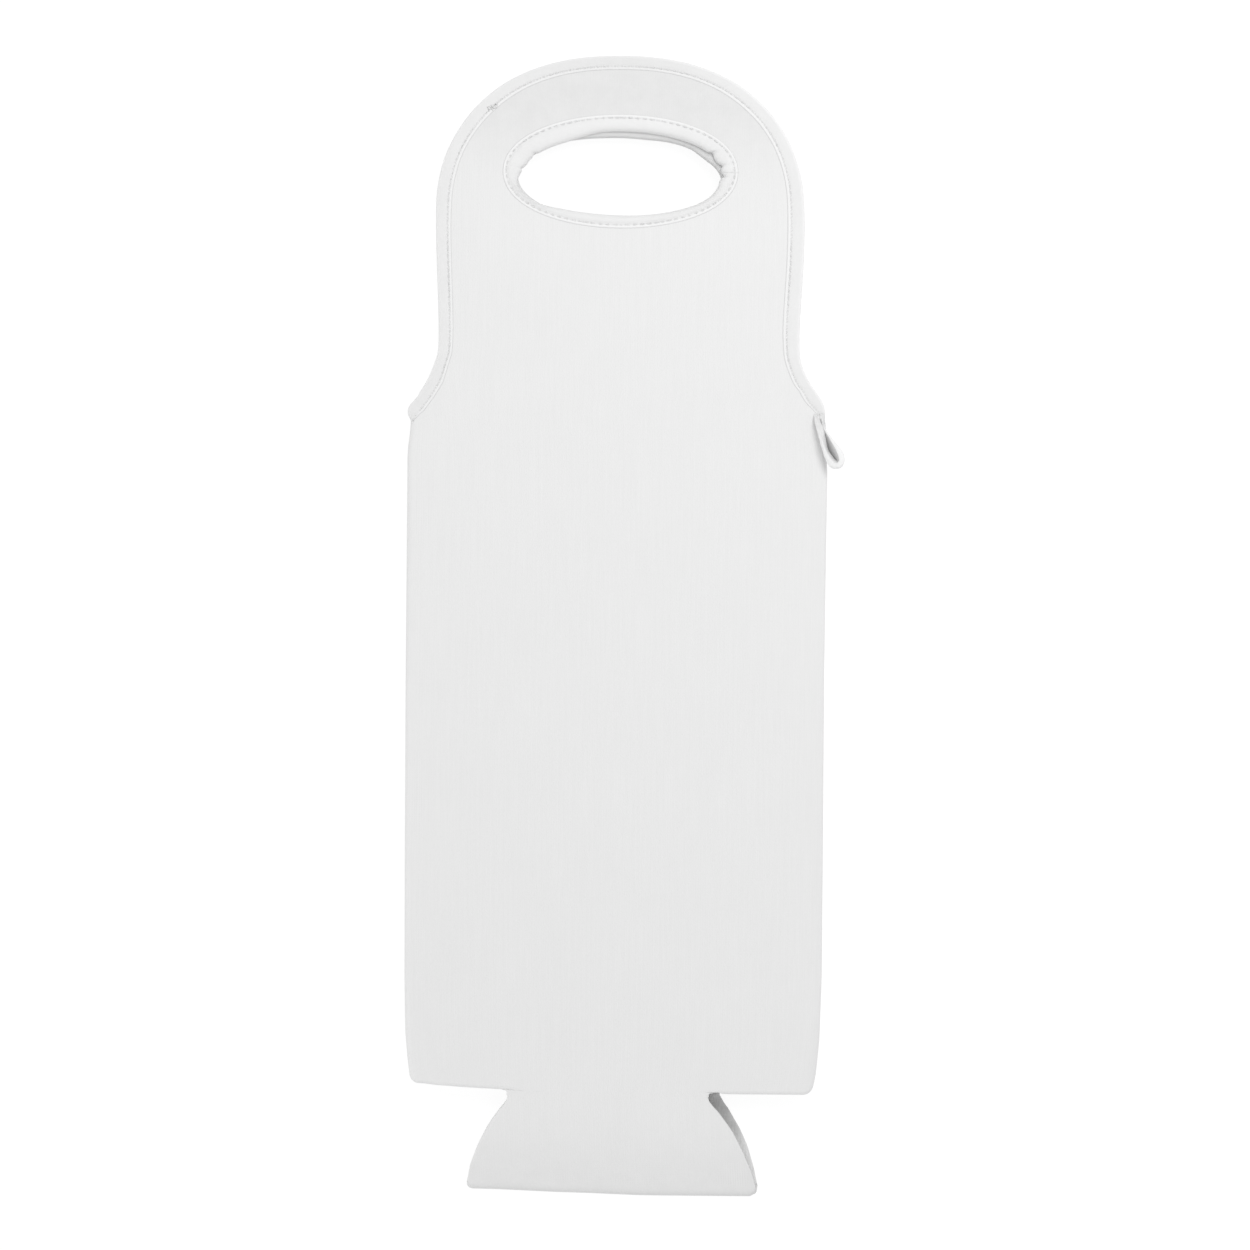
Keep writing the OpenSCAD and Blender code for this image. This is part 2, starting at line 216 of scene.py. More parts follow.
def crease_groups(mesh, groups):
    """Keeps the shading crisp where one group of faces meets another."""
    edge = np.zeros(len(mesh.loops), np.int32)
    mesh.loops.foreach_get("edge_index", edge)
    sizes = np.zeros(len(mesh.polygons), np.int32)
    mesh.polygons.foreach_get("loop_total", sizes)
    kind = np.repeat(np.asarray(groups, np.int32), sizes)
    low = np.full(len(mesh.edges), 99)
    high = np.full(len(mesh.edges), -1)
    np.minimum.at(low, edge, kind)
    np.maximum.at(high, edge, kind)
    sharp = mesh.attributes.new("sharp_edge", "BOOLEAN", "EDGE")
    sharp.data.foreach_set("value", low != high)


def volume(points, faces):
    """Signed volume inside closed faces."""
    return sum(points[f[0]] @ np.cross(points[a], points[b])
               for f in faces for a, b in zip(f[1:], f[2:]))


def add_object(name, data):
    obj = bpy.data.objects.new(name, data)
    bpy.context.scene.collection.objects.link(obj)
    return obj


def make(name, points, faces, slots, uvs, face_slots=None, groups=None):
    """A closed mesh from points in metres, with its materials and its flat pattern as UVs."""
    mesh = bpy.data.meshes.new(name)
    points = np.asarray(points, float).reshape(-1, 3)
    turn = -1 if volume(points, faces) < 0 else 1
    faces = [tuple(int(i) for i in f[::turn]) for f in faces]
    mesh.from_pydata([tuple(p) for p in points], [], faces)
    for m in slots:
        mesh.materials.append(m)
    if face_slots is not None:
        mesh.polygons.foreach_set("material_index", np.asarray(face_slots, np.int32))
    mesh.polygons.foreach_set("use_smooth", np.ones(len(mesh.polygons), bool))
    uvs = np.asarray(uvs, float).reshape(-1, 2)
    layer = mesh.uv_layers.new(name="flat")
    index = np.zeros(len(mesh.loops), np.int32)
    mesh.loops.foreach_get("vertex_index", index)
    layer.data.foreach_set("uv", uvs[index].astype(np.float32).ravel())
    mesh.validate()
    mesh.update()
    groups = face_slots if groups is None else groups
    if groups is not None:
        crease_groups(mesh, groups)
    return add_object(name, mesh)


def sheet_faces(count, step, last_rim=CUT_EDGE):
    """Faces of a closed sheet, and their material slots. Its points are a grid in two layers, the
    outer one first. For both ways of the grid, count and step say how many points there are and
    how far apart they are listed. last_rim is the slot where the second way ends."""
    (rows, cols), (row_step, col_step) = count, step
    faces, kinds = [], []

    def at(layer, r, c):
        return layer * rows * cols + r * row_step + c * col_step

    for r in range(rows - 1):
        for c in range(cols - 1):
            faces.append((at(0, r, c), at(0, r, c + 1), at(0, r + 1, c + 1), at(0, r + 1, c)))
            faces.append((at(1, r, c), at(1, r + 1, c), at(1, r + 1, c + 1), at(1, r, c + 1)))
            kinds += [OUTSIDE, INSIDE]
        c = cols - 1
        faces.append((at(0, r, c), at(1, r, c), at(1, r + 1, c), at(0, r + 1, c)))
        faces.append((at(0, r, 0), at(0, r + 1, 0), at(1, r + 1, 0), at(1, r, 0)))
        kinds += [last_rim, CUT_EDGE]
    r = rows - 1
    for c in range(cols - 1):
        faces.append((at(0, 0, c), at(1, 0, c), at(1, 0, c + 1), at(0, 0, c + 1)))
        faces.append((at(0, r, c), at(0, r, c + 1), at(1, r, c + 1), at(1, r, c)))
        kinds += [CUT_EDGE, CUT_EDGE]
    return faces, kinds


def tube_faces(m, n, closed=False):
    """Faces of a tube whose m lines of n points each are listed one after the other. Its two ends
    come last, unless it closes on itself."""
    faces = [(k * n + i, k * n + (i + 1) % n, (k + 1) % m * n + (i + 1) % n, (k + 1) % m * n + i)
             for k in range(m) for i in range(n if closed else n - 1)]
    if not closed:
        faces += [tuple(k * n for k in range(m)), tuple(k * n + n - 1 for k in reversed(range(m)))]
    return faces


# How many points go round a thread, and at which angles
SIDES = 6
ROUND = [2 * math.pi * q / SIDES for q in range(SIDES)]


def thread_faces(first, rings):
    """Faces of a thread with closed ends, whose rings of points are listed from first on."""
    faces = []
    for r in range(rings - 1):
        for q in range(SIDES):
            a, b = first + r * SIDES + q, first + r * SIDES + (q + 1) % SIDES
            faces.append((a, b, b + SIDES, a + SIDES))
    last = first + (rings - 1) * SIDES
    return faces + [tuple(first + q for q in reversed(range(SIDES))),
                    tuple(last + q for q in range(SIDES))]


def arc_lengths(points):
    steps = np.linalg.norm(np.diff(points, axis=0), axis=1)
    return np.concatenate([[0], np.cumsum(steps)])


def points_at(points, s, at):
    """Points of a run at the places at, where s are the places of its own points."""
    return np.stack([np.interp(at, s, points[:, k]) for k in range(points.shape[1])], 1)


def smooth_path(points, count):
    """A Catmull-Rom curve through points, in count steps from each to the next."""
    p = np.array(points, float)
    p = np.vstack([2 * p[0] - p[1], p, 2 * p[-1] - p[-2]])
    out = []
    for a, b, c, d in zip(p, p[1:], p[2:], p[3:]):
        for t in np.linspace(0, 1, count, endpoint=False):
            out.append(0.5 * (2 * b + (c - a) * t + (2 * a - 5 * b + 4 * c - d) * t * t
                              + (3 * b - a - 3 * c + d) * t ** 3))
    out.append(p[-2])
    return np.array(out)


# Materials

def empty_tree(owner):
    """The node tree of a material or a world, with no nodes in it."""
    owner.use_nodes = True
    owner.node_tree.nodes.clear()
    return owner.node_tree


def feed(t, node, inputs, values):
    """Gives a node's inputs, by number or by name, their numbers, colours and links."""
    for key, value in zip(inputs, values):
        if isinstance(value, tuple):
            node.inputs[key].default_value = (*value, 1)
        elif isinstance(value, (int, float)):
            node.inputs[key].default_value = value
        else:
            t.links.new(value, node.inputs[key])


def add_node(t, kind, *values):
    """Adds a node, feeds its first inputs and gives its outputs."""
    n = t.nodes.new("ShaderNode" + kind)
    feed(t, n, range(len(values)), values)
    return n.outputs


def new_material(name):
    m = bpy.data.materials.new(name)
    t = empty_tree(m)
    b = t.nodes.new("ShaderNodeBsdfPrincipled")
    add_node(t, "OutputMaterial", b.outputs[0])
    return m, t, b


def math_node(t, op, *values):
    n = t.nodes.new("ShaderNodeMath")
    n.operation = op
    feed(t, n, range(len(values)), values)
    return n.outputs[0]


def times(t, a, b):
    return math_node(t, "MULTIPLY", a, b)


def plus(t, a, b):
    return math_node(t, "ADD", a, b)


def sine(t, a):
    return math_node(t, "SINE", a)


def grey(level):
    return (level,) * 3


def dimmed(colour, share):
    return tuple(c * share for c in colour)


def uv_parts(t):
    """The flat pattern's two directions, in millimetres."""
    uv = t.nodes.new("ShaderNodeUVMap")
    uv.uv_map = "flat"
    parts = add_node(t, "SeparateXYZ", uv.outputs[0])
    return uv.outputs[0], parts[0], parts[1]


def noise_node(t, vector, scale, detail, rough, stretch=None):
    if stretch is not None:
        mapping = t.nodes.new("ShaderNodeMapping")
        mapping.inputs["Scale"].default_value = stretch
        t.links.new(vector, mapping.inputs[0])
        vector = mapping.outputs[0]
    n = t.nodes.new("ShaderNodeTexNoise")
    feed(t, n, ("Vector", "Scale", "Detail", "Roughness"), (vector, scale, detail, rough))
    return n.outputs["Fac"]


def fade(t, value, first, last, most):
    """Rises smoothly from 0 where the value is first to most where it is last."""
    n = t.nodes.new("ShaderNodeMapRange")
    n.interpolation_type = "SMOOTHSTEP"
    feed(t, n, range(5), (value, first, last, 0.0, most))
    return n.outputs[0]


def ramp(t, fac, low, high, c0, c1):
    r = t.nodes.new("ShaderNodeValToRGB")
    e = r.color_ramp.elements
    e[0].position, e[1].position = low, high
    e[0].color, e[1].color = (*c0, 1), (*c1, 1)
    t.links.new(fac, r.inputs[0])
    return r.outputs[0]


def mix_colour(t, fac, a, b, kind="MIX"):
    m = t.nodes.new("ShaderNodeMix")
    m.data_type = "RGBA"
    m.blend_type = kind
    feed(t, m, (0, 6, 7), (fac, a, b))
    return m.outputs[2]


def set_surface(t, b, shade, height, depth, rough, specular, sheen=0.0, sheen_rough=0.5):
    """Gives a material its colour, its bump in metres, its gloss and its sheen."""
    n = t.nodes.new("ShaderNodeBump")
    feed(t, n, ("Height", "Distance", "Strength"), (height, depth, 1.0))
    feed(t, b, ("Base Color", "Normal", "Roughness", "Specular IOR Level", "Sheen Weight",
                "Sheen Roughness"), (shade, n.outputs[0], rough, specular, sheen, sheen_rough))


def knit_height(t, u, v, wale, course):
    """Rows of small V-shaped stitches: wales run along v, a course is one stitch high."""
    turns = times(t, u, 2 * math.pi / wale)
    column = sine(t, turns)
    slant = math_node(t, "ABSOLUTE", sine(t, times(t, turns, 0.5)))
    row = sine(t, plus(t, times(t, v, 2 * math.pi / course), times(t, slant, 2.4)))
    return plus(t, times(t, column, 0.65), times(t, row, 0.35))


def knit(name, tone, tint, wale=0.85, course=0.6, depth=0.00004, tone_shifts=()):
    """Knitted cloth. tone_shifts lists where along v it is darker or lighter: first, last, most and
    colour.
    """
    m, t, b = new_material(name)
    uv, u, v = uv_parts(t)
    fine = knit_height(t, u, v, wale, course)
    streak = noise_node(t, uv, 1.0, 3, 0.6, (1.1, 0.035, 1.0))
    cloud = noise_node(t, uv, 0.03, 3, 0.55)
    fuzz = noise_node(t, uv, 2.6, 2, 0.6)
    blotch = noise_node(t, uv, 0.16, 4, 0.65)
    light = dimmed(tint, tone)
    shade = ramp(t, cloud, 0.35, 0.68, dimmed(light, 0.985), light)
    lines = ramp(t, streak, 0.38, 0.66, dimmed(light, 0.965), light)
    shade = mix_colour(t, 0.45, shade, lines)
    grooves = math_node(t, "MULTIPLY_ADD", fine, -0.0175, 0.0175)
    shade = mix_colour(t, grooves, shade, dimmed(light, 0.72))
    shade = mix_colour(t, times(t, blotch, 0.10), shade, dimmed(light, 0.78))
    patchy = math_node(t, "MULTIPLY_ADD", blotch, 1.0, 0.2)
    for first, last, most, share in tone_shifts:
        amount = times(t, fade(t, v, first, last, most), patchy)
        shade = mix_colour(t, amount, shade, dimmed(light, share))
    height = plus(t, times(t, fine, 0.5), times(t, fuzz, 0.35))
    set_surface(t, b, shade, height, depth, 0.88, 0.22, 0.35, 0.45)
    return m


# Where the stitch line runs in the tapes' pattern
SEWN_AT = 2.0


def tape(name, tone, rib=0.55, depth=0.00005, lip=None, fold=None, painted_shade_low=None, tone_shifts=None):
    """Woven tape. The pattern's v runs from the sewn edge to the fold, with the stitch line at
    SEWN_AT. The lip gets a painted highlight, the sewn edge a thin line of painted shade, the fold
    may be painted lighter against the shade on its rounded side, and each needle hole is a small
    dimple darkened with painted shade. tone_shifts is where along u it is darker: first, last and
    colour."""
    m, t, b = new_material(name)
    uv, u, v = uv_parts(t)
    across = sine(t, times(t, u, 2 * math.pi / rib))
    along = sine(t, plus(t, times(t, v, 2 * math.pi / (rib * 0.8)), times(t, u, math.pi / rib)))
    weave = times(t, across, along)
    fuzz = noise_node(t, uv, 1.8, 2, 0.6)
    cloud = noise_node(t, uv, 0.12, 3, 0.6)
    shade = ramp(t, cloud, 0.3, 0.7, grey(tone * 0.975), grey(tone))
    shade = mix_colour(t, math_node(t, "MULTIPLY_ADD", weave, 0.03, 0.03), shade,
                       grey(tone * 0.7))
    if painted_shade_low is not None:
        # painted shade on the inside of the loop's fold, darkest at its bottom
        shade = mix_colour(t, fade(t, v, 4.6, 0.0, 1.0), shade, grey(painted_shade_low))
    if lip is not None:
        # painted highlight on the lip, painted shade along the sewn edge, and the fold painted
        # lighter
        for first, last, colour in ((SEWN_AT - 0.25, SEWN_AT - 0.5, lip),
                                    (SEWN_AT - 0.95, SEWN_AT - 1.15, tone * 0.86),
                                    (SEWN_AT + 2.9, SEWN_AT + 4.0, fold)):
            shade = mix_colour(t, fade(t, v, first, last, 1.0), shade, grey(colour))
        # each needle hole darkened with painted shade
        nearest = math_node(t, "PINGPONG", u, STITCH / 2)
        off = times(t, math_node(t, "SUBTRACT", v, SEWN_AT), 0.7)
        away = math_node(t, "SQRT", plus(t, math_node(t, "POWER", nearest, 2.0),
                                         times(t, off, off)))
        shade = mix_colour(t, fade(t, away, 0.40, 0.14, 0.5), shade, grey(tone * 0.72))
    if tone_shifts is not None:
        first, last, share = tone_shifts
        shade = mix_colour(t, fade(t, u, first, last, 1.0), shade, grey(share), "MULTIPLY")
    height = plus(t, times(t, weave, 0.5), times(t, fuzz, 0.3))
    set_surface(t, b, shade, height, depth, 0.7, 0.3, 0.3, 0.4)
    return m


def foam_material(name, tone):
    m, t, b = new_material(name)
    uv = uv_parts(t)[0]
    cells = t.nodes.new("ShaderNodeTexVoronoi")
    feed(t, cells, ("Vector", "Scale"), (uv, 2.6))
    walls = cells.outputs["Distance"]
    cloud = noise_node(t, uv, 0.4, 3, 0.6)
    shade = ramp(t, walls, 0.1, 0.8, grey(tone * 0.86), (tone, tone, tone * 0.995))
    shade = mix_colour(t, times(t, cloud, 0.2), shade, grey(tone * 0.85))
    set_surface(t, b, shade, walls, 0.0001, 0.92, 0.2)
    return m


def thread_material(name, colour):
    m, t, b = new_material(name)
    _, u, v = uv_parts(t)
    twist = sine(t, plus(t, times(t, u, 11.0), times(t, v, 6.0)))
    shade = mix_colour(t, math_node(t, "MULTIPLY_ADD", twist, 0.08, 0.08), colour,
                       dimmed(colour, 0.6))
    set_surface(t, b, shade, twist, 0.00006, 0.55, 0.35)
    return m


# darker towards the handle's top, and with painted shade along the fold that the carrier stands on
KNIT = knit("knit_face", 0.853, grey(1.0),
            tone_shifts=((198.0, 236.0, 1.0, 0.87), (-126.0, -154.0, 1.0, 0.90)))
LINING_LOOK = (0.82, (1.0, 1.0, 0.998), 1.1, 0.9, 0.00006)
LINING = knit("lining", *LINING_LOOK)
# the inside of the base, a shaded copy of the lining: painted shade in the narrow fold beside the
# neck, eased and painted lighter than the lining nearest the neck
SHADED_LINING = knit("lining_painted_shade", *LINING_LOOK,
                   ((-140.5, -127.5, 1.25, 0.565), (-126.8, -121.0, 1.45, 1.12)))
FOAM = foam_material("foam", 0.78)
TAPE = tape("binding_tape", 0.85, lip=0.885, fold=0.9, tone_shifts=(118.0, 160.0, 0.96))
HOLE_TAPE_LOOK = tape("hole_tape", 0.87, lip=0.9, fold=0.87)
# a darker copy of the hole tape: painted shade on the back ring, which lies under the front one
SHADED_BACK_HOLE_TAPE = tape("back_hole_tape_painted_shade", 0.75, lip=0.8, fold=0.76)
LOOP_TAPE = tape("loop_tape", 0.88, 0.7, 0.00008)
# a lighter copy of the loop tape: painted highlight on the loop's top edge
LOOP_EDGE_HIGHLIGHT = tape("loop_edge_painted_highlight", 0.94, 0.7, 0.00008)
# a darker copy of the loop tape: painted shade inside the loop, darkest at its fold's bottom
LOOP_SHADED_INSIDE = tape("loop_inside_painted_shade", 0.76, 0.7, 0.00008, painted_shade_low=0.3)
THREAD = thread_material("thread", (0.92, 0.92, 0.92))
DARK_THREAD = thread_material("thread_end", (0.8, 0.8, 0.8))
SHEET_SLOTS = [KNIT, FOAM, LINING]
BASE_SLOTS = [KNIT, FOAM, SHADED_LINING]


# The pouch's sheets

def columns(last):
    """Where the sheet's points are, from its middle to last. They are closer at the bend."""
    return np.concatenate([np.linspace(0, CREASE_X, 9), np.linspace(CREASE_X, BEND_END, 13)[1:],
                           np.linspace(BEND_END, last, 7)[1:]])


def rounded(x, z, r, way, power, angles):
    """A quarter turn of radius r that starts level at a sheet's face and ends upright at x."""
    return [(x - way * r + way * r * math.sin(a) ** power,
             z - r + r * max(math.cos(a), 0) ** power) for a in np.radians(angles)]


def side_profile():
    """Cross-section of one half of the front sheet: outer and inner points, as many of each."""
    xs = columns(SEAM_X - SEAM_R)
    outer = [(x, TOP_Z) for x in xs]
    inner = [(x, INNER_Z) for x in xs[:-5]]
    outer += rounded(SEAM_X, TOP_Z, SEAM_R, 1, 0.78, np.linspace(0, 90, 8)[1:])
    low = MID_Z + HALF_CUT
    outer += [(SEAM_X, low + (TOP_Z - SEAM_R - low) * (1 - k)) for k in (0.35, 0.7)]
    # the turned edge rolls in towards the stitching
    outer += [(SEAM_X - 0.25, low + 0.25), (SEAM_X - 0.7, low)]
    # the inner face turns down at the lip that the edge makes inside
    corner = SEAM_X - LIP
    inner += [(x, INNER_Z) for x in np.linspace(inner[-1][0], corner - 0.5, 5)[1:]]
    inner += [(corner - 0.1, INNER_Z - 0.15), (corner + 0.05, INNER_Z - 0.5)]
    last = [(corner + 0.15, low + 0.2), (corner + 0.5, low), (corner + 2.2, low)]
    left = len(outer) - len(inner) - len(last)
    inner += [(corner + 0.05, z) for z in np.linspace(INNER_Z - 0.8, low + 0.6, left)]
    return np.array(outer), np.array(inner + last)


PROFILE = side_profile()
# The pouch's lower edge: its corner, the notch that is bared beside the neck where the base has
# slipped away, and how far the cut's outer and inner rims are rounded
CORNER_R = 3.2
NOTCH_X = NECK_X + 1.8
NOTCH_HALF = 1.6
NOTCH_UP = 0.4
POUCH_RIMS = (-0.45, 0.35)


def pouch_half(name, side, hand):
    """One half of the pouch's front or back sheet. hand is 1 for +X and -1 for -X."""
    height = MOUTH - FLOOR_Y
    ups = np.concatenate([[0, 0.5, 1.5], np.linspace(4, height - 4, 59), [height - 1.5, height]])
    cols = len(PROFILE[0])
    bared = 1.0 if (hand > 0) == (side == "front") else 0.0
    points, uvs = [], []
    for prof, rim in zip(PROFILE, POUCH_RIMS):
        px, pz = prof.T
        flat = arc_lengths(prof)
        reach = np.clip(px - (SEAM_X - CORNER_R), 0, CORNER_R - 0.05)
        bottom = FLOOR_Y + CORNER_R - np.sqrt(CORNER_R ** 2 - reach ** 2)
        notch = np.clip(1 - ((px - NOTCH_X) / NOTCH_HALF) ** 2, 0, None) * bared
        bottom = bottom + NOTCH_UP * np.sqrt(notch)
        cut = smooth((px - NECK_X + 0.6) / 0.6) * (pz > INNER_Z - 0.05)
        for up in ups:
            y = bottom + (MOUTH - bottom) * (up / height)
            z = pz + rim * cut * (up == 0)
            x = hand * px
            points.append(place(x - shoulder(x, y), y, z, side))
            uvs.append(np.stack([hand * flat, y], -1))
    faces, kinds = sheet_faces((len(ups), cols), (cols, 1), OUTSIDE)
    return make(name, points, faces, SHEET_SLOTS, uvs, kinds)


# The handle

def flare_points(inset):
    """The handle's edge moved inwards, from its foot to its waist."""
    r, mid = FLARE_R + inset, WAIST_X + FLARE_R
    turn = math.acos((mid - FOOT_X + inset) / r)
    a = turn * (1 - np.linspace(0, 1, 25))
    return np.stack([mid - r * np.cos(a), WAIST_Y - r * np.sin(a)], 1)


def handle_edge(inset):
    """The right half of the handle's edge, moved inwards, from its foot to the top."""
    s = np.linspace(0, 1, 30)[1:-1]
    side = np.stack([WAIST_X + (ARCH_X - WAIST_X) * (1 - np.cos(math.pi * s)) / 2,
                     WAIST_Y + (SHOULDER - WAIST_Y) * s], 1)
    a = np.radians(np.linspace(0, 90, 70))
    arch = np.stack([ARCH_X * np.abs(np.cos(a)) ** (2 / ARCH_POWER),
                     SHOULDER + ARCH_RISE * np.sin(a) ** (2 / ARCH_POWER)], 1)
    run = np.concatenate([[[WAIST_X, WAIST_Y]], side, arch])
    run[-1, 0] = 0
    before = np.concatenate([[run[0] - [0, 1]], run[:-1]])
    after = np.concatenate([run[1:], [[-run[-2, 0], run[-2, 1]]]])
    along = after - before
    normal = np.stack([-along[:, 1], along[:, 0]], 1)
    normal /= np.linalg.norm(normal, axis=1)[:, None]
    run = run + inset * normal
    run[-1, 0] = 0
    return np.concatenate([[[FOOT_X - inset, MOUTH]], flare_points(inset)[:-1], run])


def hole_edge(outset, steps=160):
    """The hand hole's edge moved outwards."""
    a = np.linspace(0, 2 * math.pi, steps, endpoint=False)
    x, y = HOLE_A * np.cos(a), HOLE_B * np.sin(a)
    nx, ny = HOLE_B * np.cos(a), HOLE_A * np.sin(a)
    n = np.hypot(nx, ny)
    return np.stack([x + outset * nx / n, HOLE_Y + y + outset * ny / n], 1)


# How far inside its tapes the handle's sheet ends, and how far apart its points are
HANDLE_IN = 2.0
HOLE_SHEET = 2.7
HANDLE_STEP = 2.9
RIM_STEP = 2.6


def handle_half(name, side, hand):
    """One half of the front or back handle's sheet, whose edges lie inside the bindings."""
    edge = handle_edge(HANDLE_IN)
    s = arc_lengths(edge)
    edge = points_at(edge, s, np.linspace(0, s[-1], int(round(s[-1] / RIM_STEP)) + 1))
    edge[-1, 0] = 0
    ring = hole_edge(HOLE_SHEET)
    right = ring[ring[:, 0] > 0.3]
    right = right[np.argsort(-np.arctan2(right[:, 1] - HOLE_Y, right[:, 0]))]
    top, low = HOLE_Y + HOLE_B + HOLE_SHEET, HOLE_Y - HOLE_B - HOLE_SHEET
    loop = [(x, MOUTH) for x in columns(FOOT_X - HANDLE_IN)[:-1]]
    loop += [tuple(p) for p in edge]
    loop += [(0, y) for y in np.linspace(edge[-1, 1], top, 8)[1:]]
    loop += [tuple(p) for p in right]
    loop += [(0, y) for y in np.linspace(low, MOUTH, 22)[:-1]]
    inside = np.array([
        (x, y)
        for j, y in enumerate(np.arange(MOUTH + 1.6, MOUTH + HANDLE_H, HANDLE_STEP * 0.87))
        for x in np.arange(1.5 + (j % 2) * HANDLE_STEP / 2, FOOT_X, HANDLE_STEP)])
    poly = np.array(loop)
    keep = inside_polygon(inside, poly) & (distance_to(inside, poly) > 1.1)
    pts = [Vector(p) for p in loop] + [Vector(p) for p in inside[keep]]
    n = len(loop)
    out = geometry.delaunay_2d_cdt(
        pts, [(i, (i + 1) % n) for i in range(n)], [list(range(n))], 1, 1e-5)
    flat = np.array([tuple(v) for v in out[0]])
    tris = [tuple(f) for f in out[2]]
    edges = [(a, b) for f in tris for a, b in zip(f, f[1:] + f[:1])]
    known = set(edges)
    rim = [(a, b) for a, b in edges if (b, a) not in known]
    count = len(flat)
    x, y = hand * flat[:, 0], flat[:, 1]
    points = [place(x, y, TOP_Z, side), place(x, y, INNER_Z, side)]
    uvs = [np.stack([x, y], 1)] * 2
    faces = tris + [tuple(i + count for i in reversed(f)) for f in tris]
    faces += [(b, a, a + count, b + count) for a, b in rim]
    kinds = [OUTSIDE] * len(tris) + [INSIDE] * len(tris) + [CUT_EDGE] * len(rim)
    return make(name, points, faces, SHEET_SLOTS, uvs, kinds)


def inside_polygon(points, poly):
    x, y = points[:, 0], points[:, 1]
    inside = np.zeros(len(points), bool)
    for (x0, y0), (x1, y1) in zip(poly, np.roll(poly, -1, 0)):
        at = x0 + (y - y0) * (x1 - x0) / (y1 - y0 if y1 != y0 else 1e-12)
        inside ^= ((y0 > y) != (y1 > y)) & (x < at)
    return inside


def distance_to(points, poly):
    best = np.full(len(points), 1e9)
    for a, b in zip(poly, np.roll(poly, -1, 0)):
        ab = b - a
        length = max(ab @ ab, 1e-12)
        s = np.clip(((points - a) @ ab) / length, 0, 1)
        best = np.minimum(best, np.linalg.norm(points - a - s[:, None] * ab, axis=1))
    return best


# The base

# The fold's outer and inner radii
FOLD_R = 3.6
FOLD_INNER_R = 1.2
# Rows close together where the base's edge turns into the pouch's lower edge, and how many rows lie
# in front of the fold
NECK_YS = (-120.0, -120.3, -120.7, -121.2, -121.9)
FLAT_ROWS = 24
BASE_RIMS = (-0.4, 0.3)


def base_profile():
    """Cross-section of the front half of the base, from the neck to the middle of the fold."""
    ys = np.concatenate([NECK_YS, np.linspace(NECK_YS[-1] - 1.2, FOLD + FOLD_R + 1.5, 17)])
    outer, inner = [(y, TOP_Z) for y in ys], [(y, INNER_Z) for y in ys]
    angles = np.linspace(0, 90, 10)
    outer += rounded(FOLD, TOP_Z, FOLD_R, -1, 0.75, angles)
    inner += rounded(FOLD + SHEET, INNER_Z, FOLD_INNER_R, -1, 1.0, angles)
    for run, y, start in ((outer, FOLD, TOP_Z - FOLD_R),
                          (inner, FOLD + SHEET, INNER_Z - FOLD_INNER_R)):
        run += [(y, start - (start - MID_Z - HALF_CUT) * k) for k in (0.5, 1.0)]
    return np.array(outer), np.array(inner)


# Half of the base's width at heights from the fold up to the neck
BASE_Y = (
    -155.0, -151.9, -146.2, -139.5, -132.8, -128.5, -126.3, -124.9, -123.4, -121.9, -121.2, -120.7,
    -120.3, -120.0)
BASE_HALF = (51.0, 51.2, 49.9, 47.1, 43.5, 40.3, 38.6, 37.2, 36.0, 35.6, 36.1, 36.8, 37.8, 39.3)
# How far the two halves of the folded base have slipped past each other, by height
BASE_SLIP = {
    "front": ((-155, -151, -146, -139, -133, -126, -121), (0.3, 0.5, 0.2, -0.1, -0.3, -0.7, -1.1)),
    "back": ((-155, -146, -138, -131, -123, -121.5, -120), (1.35, 1.55, 2.4, 2.65, 3.7, 3.1, 2.6))}


def base_half(name, side):
    """The front or back half of the base."""
    profile = base_profile()
    rows = len(profile[0])
    cols = np.concatenate([[-1, -0.988, -0.965], np.linspace(-0.93, 0.93, 41), [0.965, 0.988, 1]])
    edge = (np.abs(cols) == 1).astype(float)
    flat = arc_lengths(profile[0])
    points, uvs = [], []
    for prof, rim in zip(profile, BASE_RIMS):
        for r, (y, z) in enumerate(prof):
            x = cols * np.interp(y, BASE_Y, BASE_HALF)
            zz = z + edge * smooth((FLOOR_Y - y) / 2.0) * rim * (r < FLAT_ROWS)
            # the fold sags more and more to the right, and its corners are drawn up
            sag = 0.15 + 1.1 * smooth((x + 50) / 40) + 0.8 * smooth((x + 16) / 32)
            sag = sag * smooth((FLOOR_Y - y) / 30)
            sag = sag - 1.2 * smooth((-150 - y) / 5) * np.clip((np.abs(x) - 49.6) / 1.3, 0, 1) ** 2
            points.append(place(x + np.interp(y, *BASE_SLIP[side]), y - sag, zz, side))
            uvs.append(np.stack([x, np.full(len(x), FLOOR_Y - flat[r])], 1))
    faces, kinds = sheet_faces((len(cols), rows), (1, len(cols)))
    return make(name, points, faces, BASE_SLOTS, uvs, kinds)


# Bindings

# The tape's width, how far from its fold it is sewn, where its core lies in its pattern, and how
# deep the stitches pull it in
TAPE_WIDTH = 5.45
SEWN_IN = 4.1
CORE_V = 30
PULLED_IN = 0.05
# How a tape's roll falls off towards its fold: distance from the fold, and share of its height
FLAT_ROLL = ((1.6, 1.0), (1.05, 0.85), (0.6, 0.5), (0.28, -0.3), (0.08, -1.8))
ROUND_ROLL = ((2.2, 0.97), (1.6, 0.8), (1.05, 0.4), (0.55, -0.3), (0.15, -1.5))
SQUARE_ROLL = ((1.6, 1.0), (0.95, 1.0), (0.45, 0.85), (0.12, 0.2), (0.02, -1.0))


